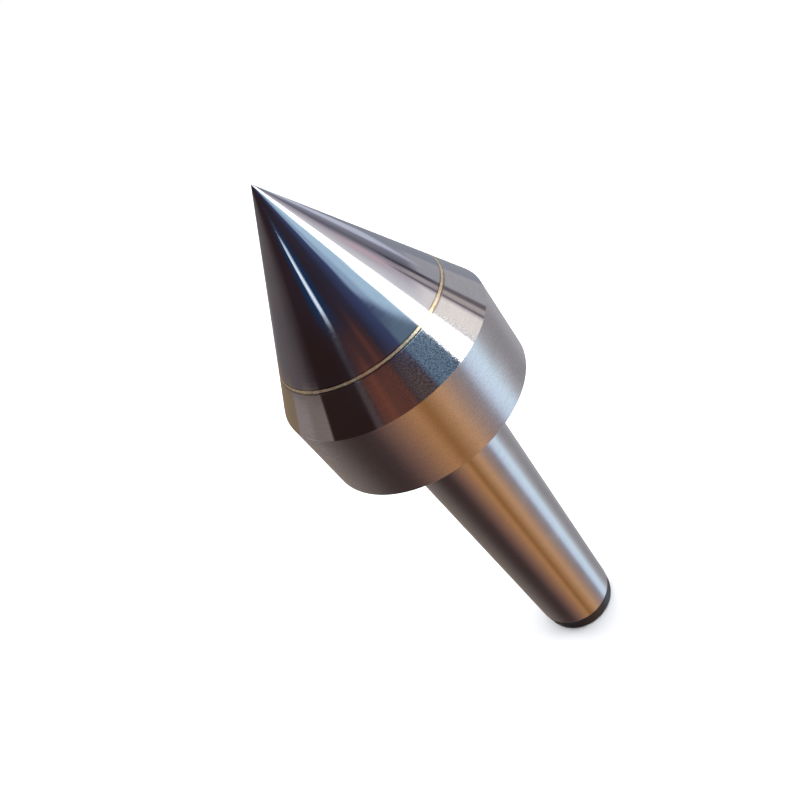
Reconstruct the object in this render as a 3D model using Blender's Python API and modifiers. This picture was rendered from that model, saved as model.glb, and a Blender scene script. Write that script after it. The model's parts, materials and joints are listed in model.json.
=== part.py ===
"""Live centre for a lathe tailstock, modelled piece by piece for Blender 4.5.

A Morse taper 4 shank carries a stepped stub. A 60 degree bull-nose head with a brazed carbide tip
turns on the stub on three bearings: a deep groove ball bearing at the back, a thrust ball bearing
in the middle and a small deep groove ball bearing at the nose. A screwed cover with a felt seal
closes the back of the head, and a wave spring keeps the thrust bearing loaded.

Metres, +Z up along the axis with the tip on top. The origin is the centre of the shank's end face.
Every size below is in millimetres; MM turns it into metres where a mesh is made.
"""

import math

import bmesh
import bpy
from mathutils import Matrix, Vector

MM = 0.001

# Driving dimensions: Morse taper 4 shank
GAUGE_DIAMETER = 31.267
TAPER_ON_DIAMETER = 1 / 19.254
GAUGE_HEIGHT = 102.5  # gauge plane above the end face
GAUGE_TO_HEAD = 6.5  # the stretch of taper that stays outside the socket
TAIL_LENGTH = 5.6  # unground black end
TAIL_RADIUS = 12.6  # at the end face, before its corner is rounded
TAIL_ROUND = 1.2
SHANK_STEP_BACK = 0.2  # the taper stops this far behind the head

# Driving dimensions: head
HEAD_DIAMETER = 63.0
HEAD_LENGTH = 78.0
CONE_ANGLE = math.radians(60)
CARBIDE_HEIGHT = 42.9  # from the sharp point to the brazed base
BRAZE_THICKNESS = 0.6
POINT_RADIUS = 0.2
SKIRT_CHAMFER = 0.5

# Clearances
SEAT_GAP = 0.3  # between two pieces that sit on each other, and round each ball
AXIAL_PLAY = 0.6  # between the rear outer ring and the head's shoulder, taken up by the spring
COLLAR_GAP = 0.35  # between the cover's bore and the shank's collar
WASHER_CLEARANCE = 0.5  # between each thrust washer and the piece that it turns against

# Mesh fineness
SHARP_ANGLE = math.radians(25)
FINE_STEPS = 48  # outer pieces
STEPS = 32  # pieces inside the head
ARC_STEPS = 4
BALL_SEGMENTS = 8
BALL_RINGS = 6
CUTTER_SIDES = 10

# Heights worked out from the driving dimensions
HEAD_BACK = GAUGE_HEIGHT + GAUGE_TO_HEAD
POINT = HEAD_BACK + HEAD_LENGTH
CARBIDE_BASE = POINT - CARBIDE_HEIGHT
HEAD_FRONT = CARBIDE_BASE - BRAZE_THICKNESS - 2 * SEAT_GAP
HEAD_RADIUS = HEAD_DIAMETER / 2
CONE_SLOPE = math.tan(CONE_ANGLE / 2)
CONE_FOOT = POINT - HEAD_RADIUS / CONE_SLOPE
TAPER_TOP = HEAD_BACK - SHANK_STEP_BACK

# Stub of the shank, inside the head
COLLAR_RADIUS = 15.0
COLLAR_LENGTH = 4.4
REAR_SEAT_HEIGHT = HEAD_BACK + COLLAR_LENGTH
REAR_TO_THRUST = 2.8  # from the rear bearing to the thrust bearing's seat, room for the retaining ring
CLIP_GROOVE_RADIUS = 11.6
STUB_CHAMFER = 0.5

# Radial bearings: bore and outside radius, width, ball and its circle, number of balls, height of the
# lower face, shoulders of the inner and outer ring, and the cage's half height and half thickness
REAR_BEARING = {
    "bore": 12.5, "outside": 21.0, "width": 9.0, "ball": 2.5, "circle": 16.75, "count": 12,
    "base": REAR_SEAT_HEIGHT + SEAT_GAP, "inner_land": 15.3, "outer_land": 18.2,
    "cage_half_height": 3.6, "cage_half_wall": 0.8,
}
THRUST_SEAT_HEIGHT = REAR_BEARING["base"] + REAR_BEARING["width"] + REAR_TO_THRUST
THRUST_BEARING = {
    "bore": 8.5, "outside": 15.0, "height": 9.0, "washer": 2.75, "ball": 2.2, "circle": 11.75,
    "count": 12, "base": THRUST_SEAT_HEIGHT + SEAT_GAP, "cage_inside": 8.8, "cage_outside": 14.8,
    "cage_half_height": 0.9,
}
NOSE_SEAT_HEIGHT = THRUST_SEAT_HEIGHT + THRUST_BEARING["height"] + SEAT_GAP
FRONT_BEARING = {
    "bore": 6.0, "outside": 10.5, "width": 5.0, "ball": 1.2, "circle": 8.25, "count": 11,
    "base": NOSE_SEAT_HEIGHT + SEAT_GAP, "inner_land": 7.35, "outer_land": 9.15,
    "cage_half_height": 2.1, "cage_half_wall": 0.45,
}
NOSE_TOP = FRONT_BEARING["base"] + FRONT_BEARING["width"]

THRUST_RELIEF = 1.45  # how much wider the head is bored round the shaft washer and the cage

# Back cover and what it holds
COVER_RADIUS = 24.0
COVER_RECESS = 0.2
COVER_BACK = HEAD_BACK + COVER_RECESS
COVER_THICKNESS = 2.9
COVER_BORE = COLLAR_RADIUS + COLLAR_GAP
COVER_CHAMFER = 0.3
SEAL_POCKET_RADIUS = 18.7
SEAL_POCKET_DEPTH = 2.0
SPANNER_HOLE_RADIUS = 1.6
SPANNER_HOLE_DEPTH = 2.0
SPANNER_HOLE_CIRCLE = 21.3
SPANNER_HOLES = 4
SPRING_INSIDE = 18.9
SPRING_OUTSIDE = 20.8
SPRING_STRIP = 0.3
SPRING_WAVES = 4

# Retaining ring on the stub, as DIN 471 for a 25 mm shaft
CLIP_OUTSIDE = 13.9
CLIP_THICKNESS = 1.2
CLIP_OPENING = 4.6
CLIP_LUG_RADIUS = 1.5
CLIP_LUG_CIRCLE = 13.6
CLIP_LUG_ANGLE = math.radians(18)
CLIP_HOLE_RADIUS = 0.7

# Centre hole in the shank's end face
CENTRE_HOLE_RADIUS = 4.0
CENTRE_PILOT_RADIUS = 2.0
CENTRE_PILOT_DEPTH = 8.5
DRILL_POINT_SLOPE = math.tan(math.radians(59))

MATERIALS = {  # colour, metallic, roughness
    "carbide": ((0.20, 0.21, 0.24), 1.0, 0.08),
    "braze": ((0.80, 0.56, 0.20), 1.0, 0.30),
    "ground_steel": ((0.56, 0.55, 0.54), 1.0, 0.22),
    "bearing_steel": ((0.62, 0.62, 0.63), 1.0, 0.12),
    "cage_brass": ((0.70, 0.52, 0.22), 1.0, 0.35),
    "spring_steel": ((0.30, 0.31, 0.33), 1.0, 0.35),
    "felt": ((0.16, 0.15, 0.14), 0.0, 0.95),
}


def taper_radius(height):
    """Radius of the Morse taper at a height above the end face."""
    return GAUGE_DIAMETER / 2 + (height - GAUGE_HEIGHT) * TAPER_ON_DIAMETER / 2


def cone_radius(height):
    """Radius of the 60 degree cone at a height above the end face."""
    return (POINT - height) * CONE_SLOPE


def arc(centre, radius, start, end, steps=ARC_STEPS):
    """Points of an arc about (radius, height), from one angle in degrees to another."""
    angles = [math.radians(start + (end - start) * i / steps) for i in range(steps + 1)]
    return [(centre[0] + radius * math.cos(a), centre[1] + radius * math.sin(a)) for a in angles]


def on_circle(radius, count, start=0.0):
    """(x, y, angle) of places spread evenly round the axis."""
    angles = [start + math.tau * i / count for i in range(count)]
    return [(radius * math.cos(a), radius * math.sin(a), a) for a in angles]


def clear_scene():
    for obj in list(bpy.data.objects):
        bpy.data.objects.remove(obj)


def collection(name):
    made = bpy.data.collections.new(name)
    bpy.context.scene.collection.children.link(made)
    return made


def material(name):
    """The named Principled material, made on first use."""
    if name in bpy.data.materials:
        return bpy.data.materials[name]
    colour, metallic, roughness = MATERIALS[name]
    made = bpy.data.materials.new(name)
    made.use_nodes = True
    shader = made.node_tree.nodes["Principled BSDF"]
    shader.inputs["Base Color"].default_value = (*colour, 1.0)
    shader.inputs["Metallic"].default_value = metallic
    shader.inputs["Roughness"].default_value = roughness
    return made


def place(name, mesh, into, made_of=None, parent=None, location=(0, 0, 0), turn=0.0):
    """An object of this mesh, at a location in millimetres, turned about Z."""
    obj = bpy.data.objects.new(name, mesh)
    into.objects.link(obj)
    obj.location = Vector(location) * MM
    obj.rotation_euler.z = turn
    if made_of and not mesh.materials:
        mesh.materials.append(material(made_of))
    if parent:
        obj.parent = parent
        obj.matrix_parent_inverse = parent.matrix_basis.inverted()
    return obj


def axis_empty(name, into, height, parent=None):
    """An empty on the main axis, for the pieces of one moving body."""
    empty = bpy.data.objects.new(name, None)
    into.objects.link(empty)
    empty.empty_display_size = 10 * MM
    empty.location.z = height * MM
    if parent:
        empty.parent = parent
    return empty


def turned(name, outline, into, made_of, parent=None, steps=STEPS, ring=True):
    """A turned solid. The outline is (radius, height) points, down the outer side and back up the inner
    one. A ring's outline closes on itself; otherwise it starts and ends on the axis."""
    mesh = bpy.data.meshes.new(name)
    points = [(radius * MM, 0, height * MM) for radius, height in outline]
    edges = [(i, i + 1) for i in range(len(points) - 1)]
    if ring:
        edges.append((len(points) - 1, 0))
    mesh.from_pydata(points, edges, [])
    obj = place(name, mesh, into, made_of, parent)
    screw = obj.modifiers.new("turn", "SCREW")
    screw.angle = math.tau
    screw.steps = screw.render_steps = steps
    screw.use_merge_vertices = True
    screw.merge_threshold = 1e-6
    return obj


def cutter_object(name, shapes, into):
    """One wire-only object that holds several closed shapes, each a function that adds itself to a bmesh."""
    shaped = bmesh.new()
    for add_shape in shapes:
        add_shape(shaped)
    mesh = bpy.data.meshes.new(name)
    shaped.to_mesh(mesh)
    shaped.free()
    obj = place(name, mesh, into)
    obj.hide_render = True
    obj.display_type = "WIRE"
    return obj


def rod(radius, length, matrix):
    """Adds a cylinder of this radius and length in millimetres, along the matrix's Z."""
    def add_shape(shaped):
        bmesh.ops.create_cone(
            shaped, cap_ends=True, segments=CUTTER_SIDES, radius1=radius * MM, radius2=radius * MM,
            depth=length * MM, matrix=matrix,
        )
    return add_shape


def block(size, matrix):
    """Adds a box of this size in millimetres."""
    def add_shape(shaped):
        scale = Matrix.Diagonal((*(Vector(size) * MM), 1.0))
        bmesh.ops.create_cube(shaped, size=1.0, matrix=matrix @ scale)
    return add_shape


def at(x, y, z):
    return Matrix.Translation(Vector((x, y, z)) * MM)


def combine(obj, tool, operation="DIFFERENCE"):
    step = obj.modifiers.new(tool.name, "BOOLEAN")
    step.operation = operation
    step.object = tool


def shade_smooth(parts):
    """Gives each piece its finished mesh, smooth between its corners. Balls are smooth already."""
    graph = bpy.context.evaluated_depsgraph_get()
    worked = [obj for obj in parts.objects if obj.modifiers]
    meshes = [bpy.data.meshes.new_from_object(obj.evaluated_get(graph)) for obj in worked]
    for obj, mesh in zip(worked, meshes):
        obj.modifiers.clear()
        obj.data = mesh
        mesh.name = obj.name
        mesh.shade_smooth()
        mesh.set_sharp_from_angle(angle=SHARP_ANGLE)


def make_shank(parts):
    """Morse taper, black tail with its centre hole, and the stepped stub with its ring groove."""
    rear, thrust, front = REAR_BEARING, THRUST_BEARING, FRONT_BEARING
    rear_seat = rear["bore"] - SEAT_GAP
    thrust_seat = thrust["bore"] - SEAT_GAP
    nose_seat = front["bore"] - SEAT_GAP
    groove_bottom = rear["base"] + rear["width"] + SEAT_GAP
    groove_top = groove_bottom + CLIP_THICKNESS + 2 * SEAT_GAP
    sink_depth = (CENTRE_HOLE_RADIUS - CENTRE_PILOT_RADIUS) / CONE_SLOPE
    outline = [
        (0, NOSE_TOP),
        (nose_seat - STUB_CHAMFER, NOSE_TOP),
        (nose_seat, NOSE_TOP - STUB_CHAMFER),
        (nose_seat, NOSE_SEAT_HEIGHT),
        (thrust_seat, NOSE_SEAT_HEIGHT),
        (thrust_seat, THRUST_SEAT_HEIGHT),
        (rear_seat, THRUST_SEAT_HEIGHT),
        (rear_seat, groove_top),
        (CLIP_GROOVE_RADIUS, groove_top),
        (CLIP_GROOVE_RADIUS, groove_bottom),
        (rear_seat, groove_bottom),
        (rear_seat, REAR_SEAT_HEIGHT),
        (COLLAR_RADIUS, REAR_SEAT_HEIGHT),
        (COLLAR_RADIUS, TAPER_TOP),
        (taper_radius(TAPER_TOP), TAPER_TOP),
        (taper_radius(TAIL_LENGTH), TAIL_LENGTH),
        *arc((TAIL_RADIUS - TAIL_ROUND, TAIL_ROUND), TAIL_ROUND, 0, -90, steps=3),
        (CENTRE_HOLE_RADIUS, 0),
        (CENTRE_PILOT_RADIUS, sink_depth),
        (CENTRE_PILOT_RADIUS, CENTRE_PILOT_DEPTH),
        (0, CENTRE_PILOT_DEPTH + CENTRE_PILOT_RADIUS / DRILL_POINT_SLOPE),
    ]
    return turned("shank", outline, parts, "ground_steel", steps=FINE_STEPS, ring=False)


def make_head_body(parts, parent):
    """Steel head: front face for the braze, cone, skirt, and the stepped bore for the bearings."""
    rear, thrust, front = REAR_BEARING, THRUST_BEARING, FRONT_BEARING
    cover_bore = COVER_RADIUS + SEAT_GAP
    rear_bore = rear["outside"] + SEAT_GAP
    thrust_bore = thrust["outside"] + SEAT_GAP
    front_bore = front["outside"] + SEAT_GAP
    cover_seat = COVER_BACK + COVER_THICKNESS + SEAT_GAP
    rear_shoulder = rear["base"] + rear["width"] + AXIAL_PLAY
    thrust_shoulder = thrust["base"] + thrust["height"] + SEAT_GAP
    thrust_relief = thrust_bore + THRUST_RELIEF
    relief_top = thrust_shoulder - thrust["washer"] - WASHER_CLEARANCE
    cavity_top = NOSE_TOP + SEAT_GAP
    outline = [
        (0, HEAD_FRONT),
        (cone_radius(HEAD_FRONT), HEAD_FRONT),
        (HEAD_RADIUS, CONE_FOOT),
        (HEAD_RADIUS, HEAD_BACK + SKIRT_CHAMFER),
        (HEAD_RADIUS - SKIRT_CHAMFER, HEAD_BACK),
        (cover_bore, HEAD_BACK),
        (cover_bore, cover_seat),
        (rear_bore, cover_seat),
        (rear_bore, rear_shoulder),
        (thrust_relief, rear_shoulder),
        (thrust_relief, relief_top),
        (thrust_bore, relief_top),
        (thrust_bore, thrust_shoulder),
        (front_bore, thrust_shoulder),
        (front_bore, cavity_top),
        (0, cavity_top),
    ]
    return turned("head_body", outline, parts, "ground_steel", parent, FINE_STEPS, ring=False)


def make_braze_layer(parts, parent):
    """Disc of braze between the steel head and the carbide, flush with the cone."""
    top = CARBIDE_BASE - SEAT_GAP
    bottom = HEAD_FRONT + SEAT_GAP
    outline = [(0, top), (cone_radius(top), top), (cone_radius(bottom), bottom), (0, bottom)]
    return turned("braze_layer", outline, parts, "braze", parent, FINE_STEPS, ring=False)


def make_carbide_tip(parts, parent):
    """Solid carbide cone with a tiny round at its point."""
    half_angle = math.degrees(CONE_ANGLE / 2)
    round_centre = (0, POINT - POINT_RADIUS / math.sin(CONE_ANGLE / 2))
    outline = [
        *arc(round_centre, POINT_RADIUS, 90, half_angle, steps=2),
        (cone_radius(CARBIDE_BASE), CARBIDE_BASE),
        (0, CARBIDE_BASE),
    ]
    outline[0] = (0, outline[0][1])
    return turned("carbide_tip", outline, parts, "carbide", parent, FINE_STEPS, ring=False)


def make_rear_cover(parts, cutters, parent):
    """Screwed ring that closes the head, with a pocket for the seal and four pin-spanner holes."""
    top = COVER_BACK + COVER_THICKNESS
    outline = [
        (COVER_RADIUS, top),
        (COVER_RADIUS, COVER_BACK + COVER_CHAMFER),
        (COVER_RADIUS - COVER_CHAMFER, COVER_BACK),
        (COVER_BORE, COVER_BACK),
        (COVER_BORE, top - SEAL_POCKET_DEPTH),
        (SEAL_POCKET_RADIUS, top - SEAL_POCKET_DEPTH),
        (SEAL_POCKET_RADIUS, top),
    ]
    cover = turned("rear_cover", outline, parts, "ground_steel", parent, FINE_STEPS)
    holes = [
        rod(SPANNER_HOLE_RADIUS, 2 * SPANNER_HOLE_DEPTH, at(x, y, COVER_BACK))
        for x, y, _ in on_circle(SPANNER_HOLE_CIRCLE, SPANNER_HOLES, math.radians(45))
    ]
    combine(cover, cutter_object("spanner_holes", holes, cutters))
    return cover


def make_felt_seal(parts, parent):
    """Felt ring in the cover, just clear of the shank's collar."""
    top = COVER_BACK + COVER_THICKNESS - SEAT_GAP
    bottom = COVER_BACK + COVER_THICKNESS - SEAL_POCKET_DEPTH + SEAT_GAP
    inside = COLLAR_RADIUS + 2 * SEAT_GAP
    outside = SEAL_POCKET_RADIUS - SEAT_GAP
    outline = [(outside, top), (outside, bottom), (inside, bottom), (inside, top)]
    return turned("felt_seal", outline, parts, "felt", parent)


def make_wave_spring(parts, parent):
    """Wavy flat ring between the cover and the rear outer ring."""
    floor = COVER_BACK + COVER_THICKNESS
    ceiling = REAR_BEARING["base"]
    height = (floor + ceiling) / 2
    swing = (ceiling - floor - SPRING_STRIP) / 2 - SEAT_GAP
    count = 12 * SPRING_WAVES
    points = []
    for i in range(count):
        angle = math.tau * i / count
        z = height + swing * math.cos(SPRING_WAVES * angle)
        for radius in (SPRING_INSIDE, SPRING_OUTSIDE):
            points.append(Vector((radius * math.cos(angle), radius * math.sin(angle), z)) * MM)
    faces = [(2 * i, 2 * i + 1, (2 * i + 3) % (2 * count), (2 * i + 2) % (2 * count)) for i in range(count)]
    mesh = bpy.data.meshes.new("preload_wave_spring")
    mesh.from_pydata(points, [], faces)
    spring = place("preload_wave_spring", mesh, parts, "spring_steel", parent)
    strip = spring.modifiers.new("strip", "SOLIDIFY")
    strip.thickness = SPRING_STRIP * MM
    strip.offset = 0
    return spring


def make_retaining_ring(parts, cutters):
    """Open ring in the stub's groove, with a holed lug at each end for the pliers."""
    bottom = REAR_BEARING["base"] + REAR_BEARING["width"] + 2 * SEAT_GAP
    top = bottom + CLIP_THICKNESS
    inside = CLIP_GROOVE_RADIUS + SEAT_GAP
    outline = [(CLIP_OUTSIDE, top), (CLIP_OUTSIDE, bottom), (inside, bottom), (inside, top)]
    clip = turned("stub_retaining_ring", outline, parts, "spring_steel", steps=STEPS)
    middle = (bottom + top) / 2
    lug_places = [
        (CLIP_LUG_CIRCLE * math.cos(a), CLIP_LUG_CIRCLE * math.sin(a), middle)
        for a in (-CLIP_LUG_ANGLE, CLIP_LUG_ANGLE)
    ]
    lugs = [rod(CLIP_LUG_RADIUS, CLIP_THICKNESS, at(*spot)) for spot in lug_places]
    holes = [rod(CLIP_HOLE_RADIUS, 2 * CLIP_THICKNESS, at(*spot)) for spot in lug_places]
    opening = block((10, CLIP_OPENING, 3 * CLIP_THICKNESS), at(CLIP_LUG_CIRCLE, 0, middle))
    combine(clip, cutter_object("clip_lugs", lugs, cutters), "UNION")
    combine(clip, cutter_object("clip_opening", [opening], cutters))
    combine(clip, cutter_object("clip_holes", holes, cutters))
    return clip


def make_radial_rings(prefix, bearing, parts, head):
    """Inner ring, fixed on the stub, and outer ring, turning with the head. Both have a ball groove."""
    bottom = bearing["base"]
    top = bottom + bearing["width"]
    middle = (bottom + top) / 2
    groove = bearing["ball"] + SEAT_GAP
    centre = (bearing["circle"], middle)
    inner_half = math.degrees(math.acos((bearing["circle"] - bearing["inner_land"]) / groove))
    outer_half = math.degrees(math.acos((bearing["outer_land"] - bearing["circle"]) / groove))
    inner = [
        (bearing["inner_land"], top),
        *arc(centre, groove, 180 - inner_half, 180 + inner_half),
        (bearing["inner_land"], bottom),
        (bearing["bore"], bottom),
        (bearing["bore"], top),
    ]
    outer = [
        (bearing["outside"], top),
        (bearing["outside"], bottom),
        (bearing["outer_land"], bottom),
        *arc(centre, groove, -outer_half, outer_half),
        (bearing["outer_land"], top),
    ]
    turned(f"{prefix}_inner_ring", inner, parts, "bearing_steel")
    turned(f"{prefix}_outer_ring", outer, parts, "bearing_steel", head)


def make_thrust_washers(parts, head):
    """Shaft washer, resting on the stub's step, and housing washer, under the head's shoulder."""
    bearing = THRUST_BEARING
    bottom = bearing["base"]
    top = bottom + bearing["height"]
    middle = (bottom + top) / 2
    groove = bearing["ball"] + SEAT_GAP
    centre = (bearing["circle"], middle)
    shaft_top = bottom + bearing["washer"]
    housing_bottom = top - bearing["washer"]
    half = math.degrees(math.acos((middle - shaft_top) / groove))
    housing_bore = bearing["bore"] + WASHER_CLEARANCE
    shaft_outside = bearing["outside"] - WASHER_CLEARANCE
    shaft_washer = [
        (shaft_outside, shaft_top),
        (shaft_outside, bottom),
        (bearing["bore"], bottom),
        (bearing["bore"], shaft_top),
        *arc(centre, groove, -90 - half, -90 + half),
    ]
    housing_washer = [
        (bearing["outside"], top),
        (bearing["outside"], housing_bottom),
        *arc(centre, groove, 90 - half, 90 + half),
        (housing_bore, housing_bottom),
        (housing_bore, top),
    ]
    turned("thrust_shaft_washer", shaft_washer, parts, "bearing_steel")
    turned("thrust_housing_washer", housing_washer, parts, "bearing_steel", head)


def make_radial_cage(prefix, bearing, parts, cutters, parent):
    """One-piece brass cage with a pocket drilled through it for each ball."""
    middle = bearing["base"] + bearing["width"] / 2
    half, wall = bearing["cage_half_height"], bearing["cage_half_wall"]
    outside, inside = bearing["circle"] + wall, bearing["circle"] - wall
    outline = [
        (outside, middle + half), (outside, middle - half), (inside, middle - half), (inside, middle + half),
    ]
    cage = turned(f"{prefix}_cage", outline, parts, "cage_brass", parent)
    pockets = [
        rod(
            bearing["ball"] + SEAT_GAP, 6 * wall,
            at(x, y, middle) @ Matrix.Rotation(angle, 4, "Z") @ Matrix.Rotation(math.pi / 2, 4, "Y"),
        )
        for x, y, angle in on_circle(bearing["circle"], bearing["count"])
    ]
    combine(cage, cutter_object(f"{prefix}_pockets", pockets, cutters))
    return cage


def make_thrust_cage(parts, cutters, parent):
    """Flat brass cage of the thrust bearing."""
    bearing = THRUST_BEARING
    middle = bearing["base"] + bearing["height"] / 2
    half = bearing["cage_half_height"]
    outside, inside = bearing["cage_outside"], bearing["cage_inside"]
    outline = [
        (outside, middle + half), (outside, middle - half), (inside, middle - half), (inside, middle + half),
    ]
    cage = turned("thrust_cage", outline, parts, "cage_brass", parent)
    pockets = [
        rod(bearing["ball"] + SEAT_GAP, 6 * half, at(x, y, middle) @ Matrix.Rotation(angle, 4, "Z"))
        for x, y, angle in on_circle(bearing["circle"], bearing["count"])
    ]
    combine(cage, cutter_object("thrust_pockets", pockets, cutters))
    return cage


def make_balls(prefix, bearing, height, parts, parent):
    """The bearing's balls, each its own object with its origin at its centre."""
    shaped = bmesh.new()
    bmesh.ops.create_uvsphere(
        shaped, u_segments=BALL_SEGMENTS, v_segments=BALL_RINGS, radius=bearing["ball"] * MM
    )
    mesh = bpy.data.meshes.new(f"{prefix}_ball")
    shaped.to_mesh(mesh)
    shaped.free()
    mesh.shade_smooth()
    for number, (x, y, angle) in enumerate(on_circle(bearing["circle"], bearing["count"]), 1):
        place(f"{prefix}_ball_{number:02d}", mesh, parts, "bearing_steel", parent, (x, y, height), angle)


def main():
    clear_scene()
    parts = collection("live_centre")
    cutters = collection("cutters")
    rear, thrust, front = REAR_BEARING, THRUST_BEARING, FRONT_BEARING
    rear_middle = rear["base"] + rear["width"] / 2
    thrust_middle = thrust["base"] + thrust["height"] / 2
    front_middle = front["base"] + front["width"] / 2

    make_shank(parts)
    make_retaining_ring(parts, cutters)

    head = axis_empty("head_axis", parts, HEAD_BACK)
    make_head_body(parts, head)
    make_braze_layer(parts, head)
    make_carbide_tip(parts, head)
    make_rear_cover(parts, cutters, head)
    make_felt_seal(parts, head)
    make_wave_spring(parts, head)

    make_radial_rings("rear", rear, parts, head)
    make_radial_rings("front", front, parts, head)
    make_thrust_washers(parts, head)

    rear_set = axis_empty("rear_cage_axis", parts, rear_middle)
    make_radial_cage("rear", rear, parts, cutters, rear_set)
    make_balls("rear", rear, rear_middle, parts, rear_set)

    thrust_set = axis_empty("thrust_cage_axis", parts, thrust_middle)
    make_thrust_cage(parts, cutters, thrust_set)
    make_balls("thrust", thrust, thrust_middle, parts, thrust_set)

    front_set = axis_empty("front_cage_axis", parts, front_middle)
    make_radial_cage("front", front, parts, cutters, front_set)
    make_balls("front", front, front_middle, parts, front_set)

    shade_smooth(parts)


main()
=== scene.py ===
import json
import math
from collections import namedtuple

import bmesh
import bpy
import numpy as np
from mathutils import Matrix, Vector


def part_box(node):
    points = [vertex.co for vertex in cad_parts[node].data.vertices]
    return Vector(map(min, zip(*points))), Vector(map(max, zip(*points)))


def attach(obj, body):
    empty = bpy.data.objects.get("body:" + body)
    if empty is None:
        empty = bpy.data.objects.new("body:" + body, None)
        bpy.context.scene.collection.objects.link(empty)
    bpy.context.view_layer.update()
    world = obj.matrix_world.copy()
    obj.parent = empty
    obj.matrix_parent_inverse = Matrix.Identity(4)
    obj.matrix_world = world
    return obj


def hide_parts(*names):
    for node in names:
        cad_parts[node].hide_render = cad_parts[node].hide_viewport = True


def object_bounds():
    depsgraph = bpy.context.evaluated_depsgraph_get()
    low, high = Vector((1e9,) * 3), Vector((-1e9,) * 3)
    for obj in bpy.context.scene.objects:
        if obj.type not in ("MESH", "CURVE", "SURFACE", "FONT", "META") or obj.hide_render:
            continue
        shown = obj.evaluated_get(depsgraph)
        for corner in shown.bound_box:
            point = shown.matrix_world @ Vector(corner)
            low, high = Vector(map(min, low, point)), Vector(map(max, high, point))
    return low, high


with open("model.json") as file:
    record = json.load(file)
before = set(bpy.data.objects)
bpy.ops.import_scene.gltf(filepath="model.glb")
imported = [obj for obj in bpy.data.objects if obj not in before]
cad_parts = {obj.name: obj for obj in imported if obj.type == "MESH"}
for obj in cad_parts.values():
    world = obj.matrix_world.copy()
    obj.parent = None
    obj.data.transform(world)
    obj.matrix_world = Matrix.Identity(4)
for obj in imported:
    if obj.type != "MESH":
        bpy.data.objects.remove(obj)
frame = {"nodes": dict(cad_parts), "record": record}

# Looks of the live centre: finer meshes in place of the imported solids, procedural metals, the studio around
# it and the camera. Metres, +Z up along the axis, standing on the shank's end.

CAD_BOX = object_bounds()
MM = 0.001
MICRON = 0.001 * MM
HEIGHT = CAD_BOX[1].z

# Mesh fineness
FINE_SEGMENTS = 256  # outer pieces
INNER_SEGMENTS = 144  # pieces inside the head
DRILL_SEGMENTS = 48
BALL_SUBDIVISIONS = 4
ROUND_STEPS = 4  # chords in a rounded edge
HOLD = 0.06 * MM  # ring beside each edge, which keeps the shading of a long face straight
SHARP_ANGLE = math.radians(40)  # edges that bend more are shaded sharp
SOFT_BEND = math.radians(20)  # corners that bend less are not rounded
ROUND_SHARE = 0.4  # most of a face that the rounding of one of its corners may take
MERGE = 1e-7  # places closer than this are one

# Rounding of the edges
OUTER_EDGE = 0.2 * MM
RING_EDGE = 0.3 * MM
CAGE_EDGE = 0.15 * MM
COVER_EDGE = 0.15 * MM
FELT_EDGE = 0.35 * MM

# Pieces inside the head and on its back, as in the CAD
BALL_GAP = 0.3 * MM  # between a ball and its pocket
SPANNER_HOLES = 4
SPANNER_HOLE = 1.6 * MM  # radius
SPANNER_DEPTH = 2.0 * MM
SPANNER_CIRCLE = 21.3 * MM
SPANNER_BEVEL = 0.2 * MM
SPRING_STRIP = 0.3 * MM
SPRING_WAVES = 4
FELT_NAP = 0.06 * MM
FELT_SEED = 7

# Black end of the shank, the foot of the cone, and the braze between the carbide and the steel
TAIL_LENGTH = 5.6 * MM
TAIL_FADE = 0.1 * MM
TAIL_RAGGED = 0.12 * MM
CONE_FADE = 0.05 * MM
GOLD_HALF_WIDTH = 0.28 * MM
GOLD_FADE = 0.06 * MM
GOLD_RAGGED = 0.07 * MM

# Ground steel: the depth of its lines, the side that its open grain is on, and how far that grain reaches
GRINDING = 2.2 * MICRON
GRAIN_SIDE = math.radians(15)
GRAIN_CORE = math.radians(10)
GRAIN_FADE = math.radians(24)

# Camera: zero shift, looking down on the axis, rolled so that the axis runs to the lower right
CAMERA_LENS = 35.39
CAMERA_SENSOR = 36
CAMERA_ELEVATION = math.radians(34.23)
CAMERA_ROLL = math.radians(39.28)
CAMERA_DISTANCE = 218.2 * MM
CAMERA_AIM = Vector((-4.8, 0, 115.3)) * MM
CONE_MIDDLE = Vector((0, 0, HEIGHT * 0.8))  # the studio's tilts are true for this place

# Studio: what the metal mirrors. A place in it has a turn, in degrees round the axis from the camera's side
# and positive to the camera's right, and a tilt: how far from upright a facet leans back where it mirrors
# that place to the camera. Upright faces mirror one ring of colours and the cone another, and the cards
# hang in front of the cone's ring. Colours are sRGB, as they look in the steel.
MIRROR_GAIN = 1.72  # makes up for what steel swallows
UPRIGHT_RING = [
    (-180, (170, 168, 164)), (-165, (158, 151, 145)), (-155, (112, 102, 95)), (-115, (94, 85, 82)),
    (-90, (62, 52, 51)), (-75, (54, 43, 42)), (-60, (60, 48, 49)), (-40, (112, 84, 74)),
    (-14, (160, 117, 80)), (-3, (125, 84, 46)), (16, (176, 136, 102)), (33, (138, 119, 113)),
    (45, (126, 122, 131)), (55, (180, 195, 218)), (70, (192, 212, 229)), (86, (152, 153, 160)),
    (100, (130, 128, 133)), (118, (130, 128, 134)), (138, (146, 145, 150)), (180, (148, 147, 151)),
]
CONE_RING = [
    (-180, (130, 127, 130)), (-155, (92, 87, 89)), (-122, (82, 75, 77)), (-88, (41, 30, 34)),
    (-20, (42, 36, 45)), (0, (43, 41, 56)), (14, (52, 60, 90)), (48, (66, 76, 104)), (72, (202, 202, 205)),
    (94, (156, 150, 158)), (107, (92, 90, 101)), (125, (128, 130, 143)), (155, (120, 124, 132)),
    (180, (128, 128, 135)),
]
RING_BORDER = (-12, 17)  # elevation where the rings meet: its middle, and its swing from side to front
BORDER_FADE = 1.5
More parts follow.
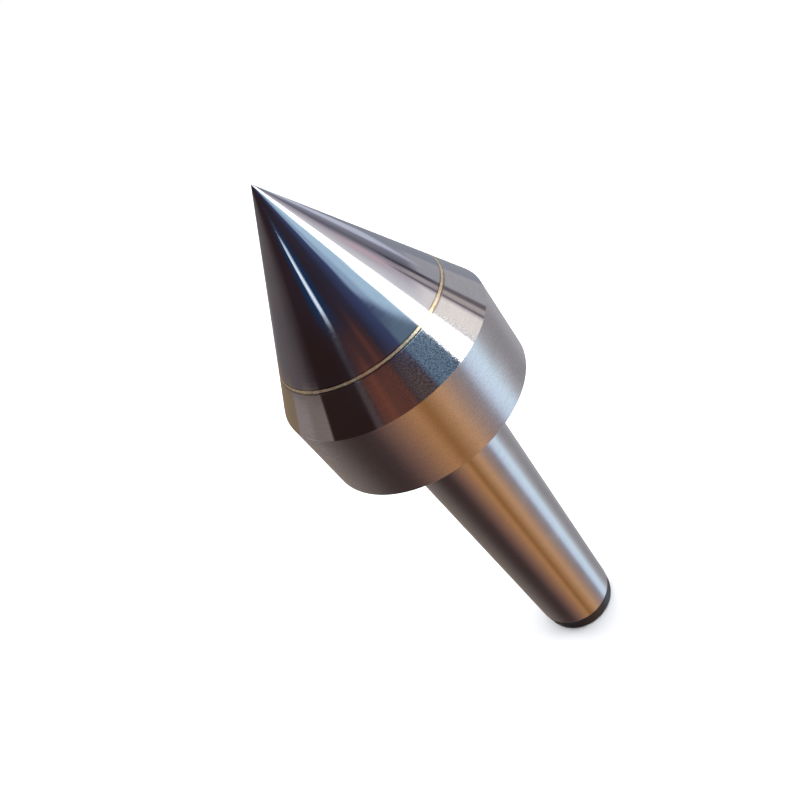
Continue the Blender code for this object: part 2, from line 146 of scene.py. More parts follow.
RIGHT_DRIFT = (38, 60)  # further down than the first, the upright ring slides on, most past the second turn
CARD_LEVEL = 28  # tilt at which the cards' sides are given
FLOOR_SIZE = 12.0
FLOOR_PAINT = (0.9, 0.9, 0.9, 1)
LAMP_PLACE = Vector((0.1, 0.2, 1.5))
LAMP_SPREAD = math.radians(70)
LAMP_STRENGTH = 3.4

# A card's sides are turns, and its tilts are its lower and upper edge. Soft is the fade of its sides and of
# those edges. Lean moves its sides for each degree of tilt, slope lifts its lower and upper edge for each
# degree of turn, and glow multiplies its brightness.
Card = namedtuple("Card", "sides tilts colour soft lean slope glow", defaults=((3, 0.7), 0.0, 0.0, 1.0))
FOOT, SKY = -90, 90
CARDS = [
    Card((-134, -92), (FOOT, 24.9), (121, 112, 112), (2.5, 0.5), slope=0.06),  # pale wall, low on the left
    Card((-112, -92), (FOOT, 25.7), (108, 98, 96), (5, 0.5)),
    Card((-178, -133), (FOOT, 20.6), (112, 97, 80), (3, 1.5), slope=0.16),  # olive wall beside it
    Card((-95, -50), (26.2, 29.5), (37, 25, 25), (14, 1.5)),  # dark doorway
    Card((-92, -50), (FOOT, 26.2), (37, 25, 25), (1.6, 0.3)),
    Card((-49, -42), (FOOT, 27.3), (68, 57, 58), (2.5, 0.4)),  # its post
    Card((-50, -42), (27.3, 29.6), (54, 49, 55), (3, 0.8)),
    Card((-41, -3), (FOOT, 29.1), (60, 42, 43)),  # brown cupboard
    Card((-41, -5), (FOOT, 27.3), (84, 53, 46), (3, 0.6)),
    Card((-33, -26), (FOOT, 27.7), (98, 58, 48), (4, 0.8)),
    Card((-17, -11), (FOOT, 29.2), (82, 50, 45), (3, 0.8)),
    Card((-3, 19), (FOOT, 27.2), (74, 62, 60), (6, 0.5)),
    Card((19, 51), (FOOT, 28.6), (84, 101, 119), (3, 0.8)),  # bluish floor under the panel
    Card((20, 54), (28.4, SKY), (132, 154, 178), (3, 0.5), slope=-0.09),  # pale blue panel
    Card((33, 54), (28.2, SKY), (158, 185, 204), (5, 0.5), slope=-0.09),
    Card((-57, -27), (29.6, 33.6), (24, 46, 74), (7, 0.8), lean=-1.4),  # teal gap
    Card((-43, -38.5), (29.8, 33.0), (222, 236, 252), (2.0, 0.6), lean=-1.7, glow=1.1),  # daylight in it
    Card((49.8, 69.6), (FOOT, SKY), (255, 255, 255), (2.4, 1), lean=0.6, glow=2.6),  # window
    Card((70, 92), (FOOT, 27.3), (214, 209, 207), (3, 0.5)),  # and its reveal
    Card((88, 98), (29, 31.6), (182, 161, 168), (5, 1)),  # pink reflection
    Card((94, 96.5), (FOOT, 28.8), (98, 90, 92), (1, 0.8)),  # window frame
    Card((97.5, 102), (FOOT, 28), (156, 148, 148), (0.8, 0.8)),
    Card((103, 107.5), (FOOT, 26), (94, 89, 94), (1, 0.8)),
    Card((103, 107.5), (26, 29.6), (64, 62, 68), (1.5, 0.8)),
    Card((108, 135), (FOOT, 27.2), (146, 146, 152), (1.5, 0.5)),
    Card((121, 138), (28.6, SKY), (176, 179, 194), (3, 0.8), lean=1.2, slope=0.2),  # light screen
    Card((-128, -106), (FOOT, 14), (232, 236, 242), (6, 3)),  # from here on, soft boxes for other views
    Card((112, 122), (FOOT, 12), (226, 230, 236), (5, 3)),
    Card((-168, -128), (54, SKY), (244, 248, 255), (8, 3), glow=1.5),
    Card((150, 176), (60, SKY), (226, 232, 240), (6, 3)),
    Card((88, 116), (44, SKY), (200, 210, 222), (6, 3)),
]


def linear(colour):
    """Linear RGBA of an sRGB colour given in 0 to 255."""
    parts = [c / 255 for c in colour]
    return (*[p / 12.92 if p <= 0.04045 else ((p + 0.055) / 1.055) ** 2.4 for p in parts], 1.0)


# Node trees


class Tree:
    """Adds nodes to a node tree, with their inputs given as values or as sockets of other nodes."""

    def __init__(self, tree):
        self.tree = tree

    def add(self, kind, inputs=None, **settings):
        node = self.tree.nodes.new(kind)
        for name, value in settings.items():
            setattr(node, name, value)
        for name, value in (inputs or {}).items():
            self.set(node.inputs[name], value)
        return node

    def set(self, socket, value):
        if isinstance(value, bpy.types.NodeSocket):
            self.tree.links.new(value, socket)
        else:
            socket.default_value = value

    def math(self, operation, *values):
        node = self.add("ShaderNodeMath", operation=operation)
        for socket, value in zip(node.inputs, values):
            self.set(socket, value)
        return node.outputs[0]

    def scale(self, value, low, high, to_low, to_high, smooth=False):
        """Value mapped from one range to another, and held at its ends."""
        node = self.add("ShaderNodeMapRange", {
            "Value": value, "From Min": low, "From Max": high, "To Min": to_low, "To Max": to_high,
        })
        node.interpolation_type = "SMOOTHSTEP" if smooth else "LINEAR"
        return node.outputs["Result"]

    def mix(self, factor, first, second):
        node = self.add("ShaderNodeMix", data_type="RGBA")
        self.set(node.inputs["Factor"], factor)
        self.set(node.inputs[6], first)
        self.set(node.inputs[7], second)
        return node.outputs[2]

    def ramp(self, factor, stops):
        node = self.add("ShaderNodeValToRGB", {"Fac": factor})
        elements = node.color_ramp.elements
        while len(elements) < len(stops):
            elements.new(0.5)
        for element, (place, colour) in zip(elements, stops):
            element.position = place
            element.color = colour
        return node.outputs["Color"]

    def noise(self, vector, scale=1.0, detail=2.0, roughness=0.5):
        return self.add("ShaderNodeTexNoise", {
            "Vector": vector, "Scale": scale, "Detail": detail, "Roughness": roughness,
        }).outputs["Fac"]

    def object_place(self):
        return self.add("ShaderNodeTexCoord").outputs["Object"]

    def height(self):
        return self.add("ShaderNodeSeparateXYZ", {"Vector": self.object_place()}).outputs[2]

    def ring_place(self, turns, rows):
        """Coordinates that run round the axis: noise cells in a radian, and in a metre of height."""
        x, y, z = self.add("ShaderNodeSeparateXYZ", {"Vector": self.object_place()}).outputs
        squares = self.math("ADD", self.math("MULTIPLY", x, x), self.math("MULTIPLY", y, y))
        radius = self.math("MAXIMUM", self.math("SQRT", squares), 1e-6)
        place = self.add("ShaderNodeCombineXYZ", {
            "X": self.math("MULTIPLY", self.math("DIVIDE", x, radius), turns),
            "Y": self.math("MULTIPLY", self.math("DIVIDE", y, radius), turns),
            "Z": self.math("MULTIPLY", z, rows),
        })
        return place.outputs[0]

    def facing(self, side):
        """Cosine of the angle round the axis from one side, which is given as an angle from -Y to +X."""
        direction = self.add("ShaderNodeVectorMath", {0: self.ring_place(1, 0)}, operation="DOT_PRODUCT")
        self.set(direction.inputs[1], (math.sin(side), -math.cos(side), 0))
        return direction.outputs["Value"]

    def bump(self, height, distance, normal=None):
        inputs = {"Height": height, "Distance": distance}
        if normal:
            inputs["Normal"] = normal
        return self.add("ShaderNodeBump", inputs).outputs["Normal"]


def metal(name, roughness=0.2, metallic=1.0, anisotropic=0.0):
    """A new metal, its tree and its shader. Turning marks stretch the highlights across them."""
    material = bpy.data.materials.new(name)
    material.use_nodes = True
    tree = Tree(material.node_tree)
    shader = material.node_tree.nodes["Principled BSDF"]
    shader.inputs["Metallic"].default_value = metallic
    shader.inputs["Roughness"].default_value = roughness
    if anisotropic:
        shader.inputs["Anisotropic"].default_value = anisotropic
        shader.inputs["Anisotropic Rotation"].default_value = 0.25
        tangent = tree.add("ShaderNodeTangent", direction_type="RADIAL", axis="Z")
        tree.set(shader.inputs["Tangent"], tangent.outputs[0])
    return material, tree, shader


def polished_carbide():
    """Dark lapped carbide: a mirror with the faintest of lapping lines and slight blotches."""
    material, tree, shader = metal("polished_carbide", anisotropic=0.3)
    blotches = tree.noise(tree.object_place(), scale=90, detail=4)
    lines = tree.noise(tree.ring_place(3, 5200), detail=2)
    wide_lines = tree.noise(tree.ring_place(1.5, 700), detail=2)
    colour = tree.ramp(blotches, [(0.3, linear((194, 194, 198))), (0.7, linear((204, 203, 206)))])
    tree.set(shader.inputs["Base Color"], colour)
    tree.set(shader.inputs["Roughness"], tree.scale(lines, 0.3, 0.7, 0.04, 0.09))
    height = tree.math("ADD", tree.math("MULTIPLY", lines, 0.25), wide_lines)
    waves = tree.bump(tree.noise(tree.ring_place(6, 70), detail=1), 30 * MICRON)
    tree.set(shader.inputs["Normal"], tree.bump(height, 1.2 * MICRON, normal=waves))
    return material


def ground_steel(name, colours, rows, gloss, depth, anisotropic):
    """Steel with fine grinding lines round the axis. Also returns what feeds its shader, for additions."""
    material, tree, shader = metal(name, anisotropic=anisotropic)
    fine = tree.noise(tree.ring_place(5, rows), detail=3, roughness=0.6)
    broad = tree.noise(tree.ring_place(2, rows / 9), detail=2)
    blotches = tree.noise(tree.object_place(), scale=70, detail=5, roughness=0.6)
    tone = tree.math("ADD", tree.math("MULTIPLY", fine, 0.5), tree.math("MULTIPLY", blotches, 0.5))
    colour = tree.ramp(tone, [(0.35, linear(colours[0])), (0.65, linear(colours[1]))])
    roughness = tree.scale(blotches, 0.3, 0.7, gloss[0], gloss[1])
    height = tree.math("ADD", fine, tree.math("MULTIPLY", broad, 0.8))
    tree.set(shader.inputs["Base Color"], colour)
    tree.set(shader.inputs["Roughness"], roughness)
    tree.set(shader.inputs["Normal"], tree.bump(height, depth))
    return material, tree, shader, (colour, roughness, height)


def head_steel(cone_foot):
    """Ground skirt, and a brighter cone with an open, sparkling grain down one side."""
    material, tree, shader, (colour, roughness, height) = ground_steel(
        "head_steel", ((200, 198, 197), (212, 210, 208)), 2200, (0.2, 0.27), GRINDING, 0.8,
    )
    on_cone = tree.scale(tree.height(), cone_foot - CONE_FADE, cone_foot + CONE_FADE, 0.0, 1.0)
    side = tree.scale(tree.facing(GRAIN_SIDE), math.cos(GRAIN_FADE), math.cos(GRAIN_CORE), 0.08, 0.8)
    on_skirt = tree.scale(on_cone, 0.0, 1.0, 0.13, 0.0)
    amount = tree.math("ADD", tree.math("MULTIPLY", on_cone, side), on_skirt)
    speckle = tree.noise(tree.ring_place(90, 2900), detail=1, roughness=0.6)
    flecks = tree.ramp(speckle, [
        (0.36, linear((144, 147, 152))), (0.5, linear((202, 202, 204))), (0.64, linear((244, 246, 250))),
    ])
    tree.set(shader.inputs["Base Color"], tree.mix(amount, colour, flecks))
    grain = tree.bump(tree.math("MULTIPLY", speckle, amount), 9 * MICRON)
    tree.set(shader.inputs["Normal"], tree.bump(height, GRINDING, normal=grain))
    smoother = tree.scale(on_cone, 0.0, 1.0, 1.0, 0.34)
    tree.set(shader.inputs["Roughness"], tree.math("MULTIPLY", roughness, smoother))
    return material


def shank_steel():
    """Ground taper, and the black oxide that stays on the tail."""
    material, tree, shader, (colour, roughness, height) = ground_steel(
        "shank_steel", ((198, 197, 196), (211, 209, 207)), 2600, (0.18, 0.26), GRINDING, 0.8,
    )
    ragged = tree.noise(tree.ring_place(14, 160), detail=3)
    edge = tree.math("ADD", tree.height(), tree.scale(ragged, 0.3, 0.7, -TAIL_RAGGED, TAIL_RAGGED))
    bright = tree.scale(edge, TAIL_LENGTH - TAIL_FADE, TAIL_LENGTH + TAIL_FADE, 0.0, 1.0)
    scale_marks = tree.noise(tree.object_place(), scale=420, detail=5, roughness=0.65)
    oxide = tree.ramp(scale_marks, [(0.3, linear((29, 28, 28))), (0.7, linear((47, 44, 44)))])
    matt = tree.scale(scale_marks, 0.3, 0.7, 0.3, 0.45)
    tree.set(shader.inputs["Base Color"], tree.mix(bright, oxide, colour))
    tree.set(shader.inputs["Metallic"], bright)
    steel_part = tree.math("MULTIPLY", roughness, bright)
    oxide_part = tree.math("MULTIPLY", matt, tree.math("SUBTRACT", 1.0, bright))
    tree.set(shader.inputs["Roughness"], tree.math("ADD", steel_part, oxide_part))
    shader.inputs["Specular IOR Level"].default_value = 0.34
    pits = tree.math("MULTIPLY", scale_marks, tree.scale(bright, 0.0, 1.0, 6.0, 0.0))
    tree.set(shader.inputs["Normal"], tree.bump(tree.math("ADD", height, pits), GRINDING))
    return material


def braze_metal(middle):
    """Thin line of dull yellow braze with ragged sides, between darker, browner edges: painted shade of the
    seam.
    """
    material, tree, shader = metal("braze_metal")
    lumps = tree.noise(tree.ring_place(40, 700), detail=3)
    ragged = tree.noise(tree.ring_place(9, 200), detail=4, roughness=0.6)
    off = tree.math("ABSOLUTE", tree.math("SUBTRACT", tree.height(), middle))
    off = tree.math("ADD", off, tree.scale(ragged, 0.3, 0.7, -GOLD_RAGGED, GOLD_RAGGED))
    beside = tree.scale(
        off, GOLD_HALF_WIDTH - GOLD_FADE, GOLD_HALF_WIDTH + GOLD_FADE, 0.0, 1.0, smooth=True,
    )
    gold = tree.ramp(lumps, [
        (0.3, linear((212, 180, 138))), (0.5, linear((224, 206, 170))), (0.75, linear((238, 230, 208))),
    ])
    # Darker brownish colour beside the braze line: painted shade of the seam
    tree.set(shader.inputs["Base Color"], tree.mix(beside, gold, linear((170, 158, 144))))
    tree.set(shader.inputs["Metallic"], tree.scale(beside, 0.0, 1.0, 0.86, 1.0))
    tree.set(shader.inputs["Roughness"], tree.scale(beside, 0.0, 1.0, 0.36, 0.1))
    tree.set(shader.inputs["Normal"], tree.bump(lumps, 5 * MICRON))
    return material


def plain_procedural(name, colours, metallic, roughness, scale, depth):
    """Metal or felt with an even grain in colour, gloss and height."""
    material, tree, shader = metal(name, metallic=metallic)
    grain = tree.noise(tree.object_place(), scale=scale, detail=4, roughness=0.6)
    dark, light = colours
    tree.set(shader.inputs["Base Color"], tree.ramp(grain, [(0.3, linear(dark)), (0.7, linear(light))]))
    tree.set(shader.inputs["Roughness"], tree.scale(grain, 0.3, 0.7, roughness[0], roughness[1]))
    tree.set(shader.inputs["Normal"], tree.bump(grain, depth))
    return material


# Turned meshes


def cad_outline(node):
    """Radius and height of a turned CAD node's corners, in order, read where its mesh crosses +X.

    Also whether the outline ends on the axis."""
    mesh = frame["nodes"][node].data
    near = {}
    for vertex in mesh.vertices:
        x, y, z = vertex.co
        if abs(y) < MERGE and x > -MERGE:
            near[vertex.index] = (round(max(x, 0.0), 7), round(z, 7))
    joined = {}
    for polygon in mesh.polygons:
        ring = list(polygon.vertices)
        for a, b in zip(ring, ring[1:] + ring[:1]):
            if a in near and b in near and near[a] != near[b]:
                joined.setdefault(near[a], set()).add(near[b])
                joined.setdefault(near[b], set()).add(near[a])
    ends = sorted((p for p in joined if len(joined[p]) == 1), key=lambda p: p[1])
    outline = [ends[-1] if ends else max(joined)]
    while True:
        onward = [p for p in joined[outline[-1]] if p not in outline]
        if not onward:
            break
        outline.append(onward[0])
    if ends:
        outline = [(0.0, outline[0][1])] * (outline[0][0] > 0) + outline
        outline += [(0.0, outline[-1][1])] * (outline[-1][0] > 0)
    return outline, bool(ends)


def rounded(outline, on_axis, radius):
    """The outline with each corner rounded off, except the slight ones, and with holding rings."""
    points = [Vector(p) for p in outline]
    count = len(points)
    eased = []
    for i, point in enumerate(points):
        if on_axis and i in (0, count - 1):
            eased.append(point)
            continue
        before = points[i - 1] - point
        after = points[(i + 1) % count] - point
        bend = math.pi - before.angle(after)
        if bend < SOFT_BEND or not radius:
            eased.append(point)
            continue
        room = min(before.length, after.length) * ROUND_SHARE
        reach = min(radius * math.tan(bend / 2), room)
        start, end = point + before.normalized() * reach, point + after.normalized() * reach
        for step in range(ROUND_STEPS + 1):
            t = step / ROUND_STEPS
            eased.append((1 - t) ** 2 * start + 2 * t * (1 - t) * point + t * t * end)
    held = []
    ends = len(eased) - 1 if on_axis else len(eased)
    for i in range(ends):
        a, b = eased[i], eased[(i + 1) % len(eased)]
        held.append(a)
        if (b - a).length > 4 * HOLD:
            along = (b - a).normalized() * HOLD
            held += [a + along, b - along]
    if on_axis:
        held.append(eased[-1])
    return held


def lathe(name, outline, on_axis, segments):
    """Mesh object turned from an outline that starts and ends on the axis, or closes on itself."""
    shaped = bmesh.new()
    verts = [shaped.verts.new((p[0], 0, p[1])) for p in outline]
    pairs = list(zip(verts, verts[1:])) + ([] if on_axis else [(verts[-1], verts[0])])
    edges = [shaped.edges.new(pair) for pair in pairs]
    bmesh.ops.spin(
        shaped, geom=verts + edges, cent=(0, 0, 0), axis=(0, 0, 1), angle=math.tau, steps=segments,
        use_merge=True,
    )
    bmesh.ops.remove_doubles(shaped, verts=shaped.verts, dist=MERGE)
    bmesh.ops.recalc_face_normals(shaped, faces=shaped.faces)
    mesh = bpy.data.meshes.new(name)
    shaped.to_mesh(mesh)
    shaped.free()
    mesh.shade_smooth()
    mesh.set_sharp_from_angle(angle=SHARP_ANGLE)
    return link(name, mesh)


def link(name, mesh):
    obj = bpy.data.objects.new(name, mesh)
    bpy.context.scene.collection.objects.link(obj)
    return obj


def stand_for(piece, node, material):
    """The piece replaces a CAD node, which is hidden; it rides on the node's body and takes the given
    material.
    """
    piece.data.materials.clear()
    piece.data.materials.append(material)
    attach(piece, BODY_OF[node])
    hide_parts(node)


def turned_like(node, material, radius, segments=FINE_SEGMENTS):
    """A fine copy of a turned CAD node, with its edges broken."""
    outline, on_axis = cad_outline(node)
    piece = lathe(f"{node}_fine", rounded(outline, on_axis, radius), on_axis, segments)
    stand_for(piece, node, material)


def cut(piece, tools):
    """The piece without the space that the tools take up."""
    shaped = bmesh.new()
    for mesh in tools:
        shaped.from_mesh(mesh)
    cutter_mesh = bpy.data.meshes.new("cutter")
    shaped.to_mesh(cutter_mesh)
    shaped.free()
    cutter = link("cutter", cutter_mesh)
    modifier = piece.modifiers.new("cut", "BOOLEAN")
    modifier.object = cutter
    evaluated = piece.evaluated_get(bpy.context.evaluated_depsgraph_get())
    mesh = bpy.data.meshes.new_from_object(evaluated)
    piece.modifiers.clear()
    piece.data = mesh
    bpy.data.objects.remove(cutter)
    mesh.shade_smooth()
    mesh.set_sharp_from_angle(angle=SHARP_ANGLE)


def drill(outline, matrix):
    """Cutter turned from an outline round its own Z, and placed by the matrix."""
    tool = lathe("drill", outline, True, DRILL_SEGMENTS)
    mesh = tool.data
    mesh.transform(matrix)
    bpy.data.objects.remove(tool)
    return mesh


def around(radius, count, height, start=0.0):
    """Places on a circle round the axis, each with its angle."""
    for i in range(count):
        angle = start + math.tau * i / count
        yield Vector((radius * math.cos(angle), radius * math.sin(angle), height)), angle


def middle_of(node):
    low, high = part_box(node)
    return (low + high) / 2


def fine_balls(prefix, material):
    """Smooth balls in the places of the CAD ones. Returns their centre circle, radius and number."""
    names = [name for name in frame["nodes"] if name.startswith(f"{prefix}_ball_")]
    low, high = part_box(names[0])
    radius = (high.z - low.z) / 2
    shaped = bmesh.new()
    bmesh.ops.create_icosphere(shaped, subdivisions=BALL_SUBDIVISIONS, radius=radius)
    mesh = bpy.data.meshes.new(f"{prefix}_ball_fine")
    shaped.to_mesh(mesh)
    shaped.free()
    mesh.shade_smooth()
    mesh.materials.append(material)
    for name in names:
        ball = link(f"{name}_fine", mesh)
        ball.location = middle_of(name)
        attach(ball, BODY_OF[name])
        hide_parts(name)
    centre = middle_of(names[0])
    return math.hypot(centre.x, centre.y), radius, len(names)


def ring_with_bore(node):
    """Outline and wall of a plain ring, from the node's box and the innermost point of its mesh."""
    low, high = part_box(node)
    inside = min(math.hypot(v.co.x, v.co.y) for v in frame["nodes"][node].data.vertices)
    return [(high.x, high.z), (high.x, low.z), (inside, low.z), (inside, high.z)], high.x - inside


def fine_cage(prefix, balls, material, radial):
    """Brass cage with a pocket bored for each ball: from the side, or from above in a thrust bearing."""
    circle, ball, count = balls
    node = f"{prefix}_cage"
    outline, wall = ring_with_bore(node)
    piece = lathe(f"{node}_fine", rounded(outline, False, CAGE_EDGE), False, INNER_SEGMENTS)
    height = middle_of(node).z
    aim = Matrix.Rotation(math.pi / 2, 4, "Y") if radial else Matrix()
    reach = 2 * wall if radial else ball
    pocket = ball + BALL_GAP
    bore = [(0, reach), (pocket, reach), (pocket, -reach), (0, -reach)]
    cut(piece, [
        drill(bore, Matrix.Translation(spot) @ Matrix.Rotation(angle, 4, "Z") @ aim)
        for spot, angle in around(circle, count, height)
    ])
    stand_for(piece, node, material)


def fine_cover(material):
    """Back cover with bevelled pin-spanner holes, which are as deep as in the CAD node."""
    outline, on_axis = cad_outline("rear_cover")
    piece = lathe("rear_cover_fine", rounded(outline, on_axis, COVER_EDGE), on_axis, FINE_SEGMENTS)
    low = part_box("rear_cover")[0].z
    mouth = SPANNER_HOLE + 2 * SPANNER_BEVEL
    bevelled = [
        (0, SPANNER_DEPTH), (SPANNER_HOLE, SPANNER_DEPTH), (SPANNER_HOLE, SPANNER_BEVEL),
        (mouth, -SPANNER_BEVEL), (0, -SPANNER_BEVEL),
    ]
    cut(piece, [
        drill(bevelled, Matrix.Translation(spot))
        for spot, _ in around(SPANNER_CIRCLE, SPANNER_HOLES, low, math.pi / SPANNER_HOLES)
    ])
    stand_for(piece, "rear_cover", material)


def fine_wave_spring(material):
    """Strip that waves round between the cover and the rear bearing, with its edges rolled over."""
    node = "preload_wave_spring"
    low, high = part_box(node)
    points = [v.co for v in frame["nodes"][node].data.vertices]
    inside = min(math.hypot(p.x, p.y) for p in points)
    middle, swing = (low.z + high.z) / 2, (high.z - low.z - SPRING_STRIP) / 2
    half = SPRING_STRIP / 2
    section = [(high.x, half), (high.x, -half), (inside, -half), (inside, half)]
    piece = lathe(f"{node}_fine", rounded(section, False, SPRING_STRIP / 3), False, FINE_SEGMENTS)
    for vertex in piece.data.vertices:
        angle = math.atan2(vertex.co.y, vertex.co.x)
        vertex.co.z += middle + swing * math.cos(SPRING_WAVES * angle)
    piece.data.shade_smooth()
    stand_for(piece, node, material)


def fine_felt(material):
    """Felt ring: rounded, slightly lumpy, with a nap."""
    outline, on_axis = cad_outline("felt_seal")
    piece = lathe("felt_seal_fine", rounded(outline, on_axis, FELT_EDGE), on_axis, FINE_SEGMENTS)
    centre = middle_of("felt_seal").z
    draws = np.random.default_rng(FELT_SEED)
    for vertex in piece.data.vertices:
        pull = draws.uniform(0.0, FELT_NAP)
        vertex.co.z -= math.copysign(pull, vertex.co.z - centre)
    stand_for(piece, "felt_seal", material)


def seam_filled(node, slot, material, low, high):
    """The braze, flush with the cone and filling the whole seam between two heights."""
    outline, _ = cad_outline(node)
    (upper_radius, upper), (lower_radius, lower) = outline[1], outline[2]
    flare = (lower_radius - upper_radius) / (upper - lower)
    high_radius = upper_radius - (high - upper) * flare
    low_radius = upper_radius + (upper - low) * flare
    filled = [(0, high), (high_radius, high), (low_radius, low), (0, low)]
    piece = lathe(f"{node}_fine", rounded(filled, True, 0.0), True, FINE_SEGMENTS)
    stand_for(piece, node, material)


# Studio


def band(tree, value, limits, soft):
    """1 where the value lies between the limits, with soft edges."""
    low, high = limits
    rise = tree.scale(value, low - soft, low + soft, 0.0, 1.0, smooth=True)
    fall = tree.scale(value, high - soft, high + soft, 0.0, 1.0, smooth=True)
    return tree.math("SUBTRACT", rise, fall)


def hang(tree, colour, card, turn, tilt):
    """The studio's colour with a card in front of it."""
    lean = tree.math("MULTIPLY", tree.math("SUBTRACT", tilt, CARD_LEVEL), card.lean)
    slope = tree.math("MULTIPLY", tree.math("SUBTRACT", turn, sum(card.sides) / 2), card.slope)
    across = band(tree, tree.math("SUBTRACT", turn, lean), card.sides, card.soft[0])
    upward = band(tree, tree.math("SUBTRACT", tilt, slope), card.tilts, card.soft[1])
    shine = [part * card.glow for part in linear(card.colour)[:3]]
    return tree.mix(tree.math("MULTIPLY", across, upward), colour, (*shine, 1.0))


def ring(tree, turn, colours):
    stops = [((degrees + 180) / 360, linear(colour)) for degrees, colour in colours]
    return tree.ramp(tree.scale(turn, -180, 180, 0.0, 1.0), stops)


def world_light():
    """The studio round the object, and plain white for the camera."""
    world = bpy.data.worlds.new("studio")
    bpy.context.scene.world = world
    world.use_nodes = True
    world.node_tree.nodes.clear()
    tree = Tree(world.node_tree)
    outward = tree.add("ShaderNodeTexCoord").outputs["Generated"]
    x, y, z = tree.add("ShaderNodeSeparateXYZ", {"Vector": outward}).outputs
    degrees = 180 / math.pi
    radians = tree.math("ARCTAN2", x, tree.math("MULTIPLY", y, -1.0))
    turn = tree.math("MULTIPLY", radians, degrees)
    below = tree.math("MULTIPLY", tree.math("ARCSINE", z), -degrees)
    to_camera = (bpy.context.scene.camera.location - CONE_MIDDLE).normalized()
    halfway = tree.add("ShaderNodeVectorMath", {0: outward, 1: to_camera}, operation="ADD")
    facet = tree.add("ShaderNodeVectorMath", {0: halfway.outputs[0]}, operation="NORMALIZE")
    lift = tree.add("ShaderNodeSeparateXYZ", {"Vector": facet.outputs[0]}).outputs[2]
    tilt = tree.math("MULTIPLY", tree.math("ARCSINE", lift), degrees)

    drift_start, full_drift = RIGHT_DRIFT
    past = tree.math("MAXIMUM", tree.math("SUBTRACT", below, drift_start), 0.0)
    rate = tree.scale(turn, 0.0, full_drift, 0.0, 1.0)
    upright_turn = tree.math("SUBTRACT", turn, tree.math("MULTIPLY", past, rate))
    upright = ring(tree, upright_turn, UPRIGHT_RING)
    cone = ring(tree, turn, CONE_RING)
    for card in CARDS:
        cone = hang(tree, cone, card, turn, tilt)
    middle, swing = RING_BORDER
    border = tree.math("ADD", tree.math("MULTIPLY", tree.math("COSINE", radians), swing), middle)
    above = tree.math("MULTIPLY", tree.math("ADD", below, border), -1.0)
    colour = tree.mix(tree.scale(above, -BORDER_FADE, BORDER_FADE, 0.0, 1.0, smooth=True), upright, cone)

    seen = tree.add("ShaderNodeLightPath").outputs["Is Camera Ray"]
    mirrored = tree.add("ShaderNodeBackground", {"Color": colour, "Strength": MIRROR_GAIN})
    white = tree.add("ShaderNodeBackground", {"Color": (1, 1, 1, 1), "Strength": 1.0})
    mixed = tree.add("ShaderNodeMixShader", {0: seen, 1: mirrored.outputs[0], 2: white.outputs[0]})
    tree.add("ShaderNodeOutputWorld", {"Surface": mixed.outputs[0]})


def soft_light():
    """Sun as wide as a soft box, which lights the floor. Metal mirrors the studio and not this lamp."""
    lamp = bpy.data.lights.new("overhead", "SUN")
    lamp.angle = LAMP_SPREAD
    lamp.energy = LAMP_STRENGTH
    obj = bpy.data.objects.new("overhead", lamp)
    bpy.context.scene.collection.objects.link(obj)
    obj.location = LAMP_PLACE
    aim = Vector((0, 0, HEIGHT / 2)) - LAMP_PLACE
    obj.rotation_euler = aim.to_track_quat("-Z", "Y").to_euler()
    obj.visible_glossy = False


def floor():
    """Matt pale floor, which the metal doesn't mirror."""
    shaped = bmesh.new()
    bmesh.ops.create_grid(shaped, x_segments=1, y_segments=1, size=FLOOR_SIZE)
    mesh = bpy.data.meshes.new("floor")
    shaped.to_mesh(mesh)
    shaped.free()
    obj = link("floor", mesh)
    obj.location.z = CAD_BOX[0].z
    material, _, shader = metal("floor_paint", roughness=0.9, metallic=0.0)
    shader.inputs["Base Color"].default_value = FLOOR_PAINT
    shader.inputs["Specular IOR Level"].default_value = 0.0
    mesh.materials.append(material)
    obj.visible_glossy = False


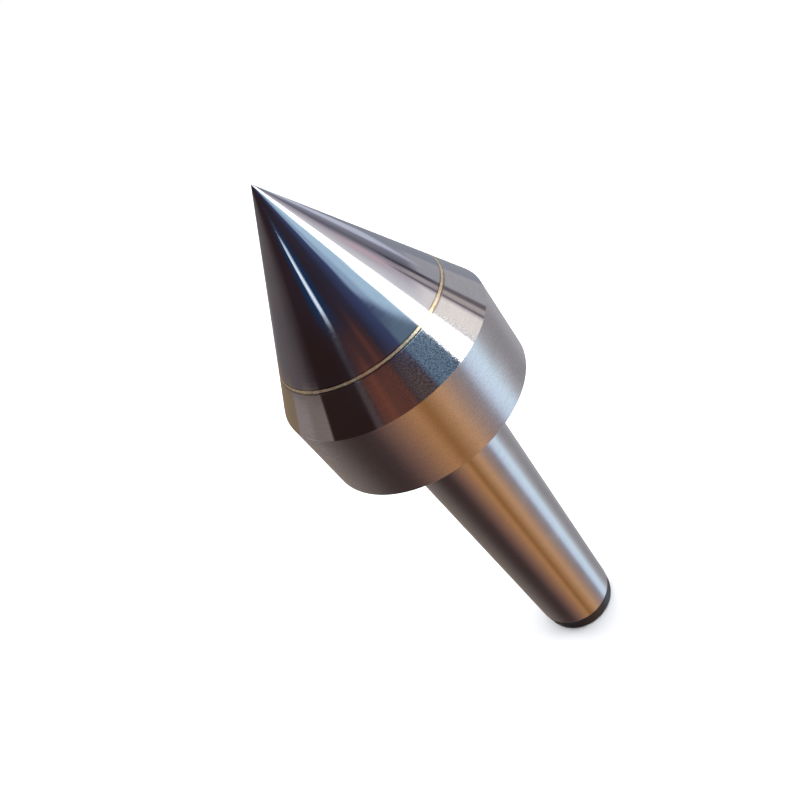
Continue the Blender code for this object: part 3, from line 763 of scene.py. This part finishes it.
def camera():
    """The camera, aimed and rolled. The studio is hung round where it stands."""
    lens = bpy.data.cameras.new("camera")
    lens.lens = CAMERA_LENS
    lens.sensor_width = CAMERA_SENSOR
    lens.clip_start = 10 * MM
    obj = bpy.data.objects.new("camera", lens)
    bpy.context.scene.collection.objects.link(obj)
    tilt = Matrix.Rotation(math.pi / 2 - CAMERA_ELEVATION, 4, "X")
    roll = Matrix.Rotation(-CAMERA_ROLL, 4, "Z")
    back = (tilt @ Vector((0, 0, 1))) * CAMERA_DISTANCE
    obj.matrix_world = Matrix.Translation(CAMERA_AIM + back) @ tilt @ roll
    bpy.context.scene.camera = obj


# Assembly

BODY_OF = {node: body for body, nodes in frame["record"]["behaviour"]["bodies"].items() for node in nodes}
camera()
floor()
world_light()
soft_light()
bpy.context.scene.view_settings.view_transform = "Standard"

head_outline, _ = cad_outline("head_body")
cone_foot = max(z for r, z in head_outline if r > 0.99 * CAD_BOX[1].x)
seam = (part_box("head_body")[1].z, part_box("carbide_tip")[0].z)

shank_metal = shank_steel()
head_metal = head_steel(cone_foot)
cover_metal = ground_steel(
    "cover_steel", ((190, 188, 186), (206, 204, 200)), 1800, (0.22, 0.32), 3 * MICRON, 0.4,
)[0]
bearing_metal = plain_procedural(
    "bearing_steel", ((220, 220, 222), (232, 232, 234)), 1.0, (0.05, 0.1), 900, 0.5 * MICRON,
)
brass = plain_procedural(
    "cage_brass", ((206, 164, 92), (224, 186, 118)), 1.0, (0.28, 0.4), 700, 2 * MICRON,
)
spring_metal = plain_procedural(
    "spring_steel", ((52, 52, 56), (74, 74, 80)), 0.9, (0.3, 0.45), 900, 2 * MICRON,
)
felt = plain_procedural("felt", ((52, 48, 44), (92, 86, 78)), 0.0, (0.9, 1.0), 1600, 100 * MICRON)
carbide = polished_carbide()
braze = braze_metal(sum(seam) / 2)

turned_like("carbide_tip", carbide, 0.0)
seam_filled("braze_layer", "braze", braze, *seam)
turned_like("head_body", head_metal, OUTER_EDGE)
turned_like("shank", shank_metal, OUTER_EDGE)
fine_cover(cover_metal)
fine_felt(felt)
fine_wave_spring(spring_metal)
for ring_name in (
    "rear_inner_ring", "rear_outer_ring", "front_inner_ring", "front_outer_ring", "thrust_shaft_washer",
    "thrust_housing_washer",
):
    turned_like(ring_name, bearing_metal, RING_EDGE, INNER_SEGMENTS)
for prefix, radial in (("rear", True), ("thrust", False), ("front", True)):
    balls = fine_balls(prefix, bearing_metal)
    fine_cage(prefix, balls, brass, radial)

# The retaining ring keeps its CAD mesh
clip = frame["nodes"]["stub_retaining_ring"].data
clip.materials.clear()
clip.materials.append(spring_metal)
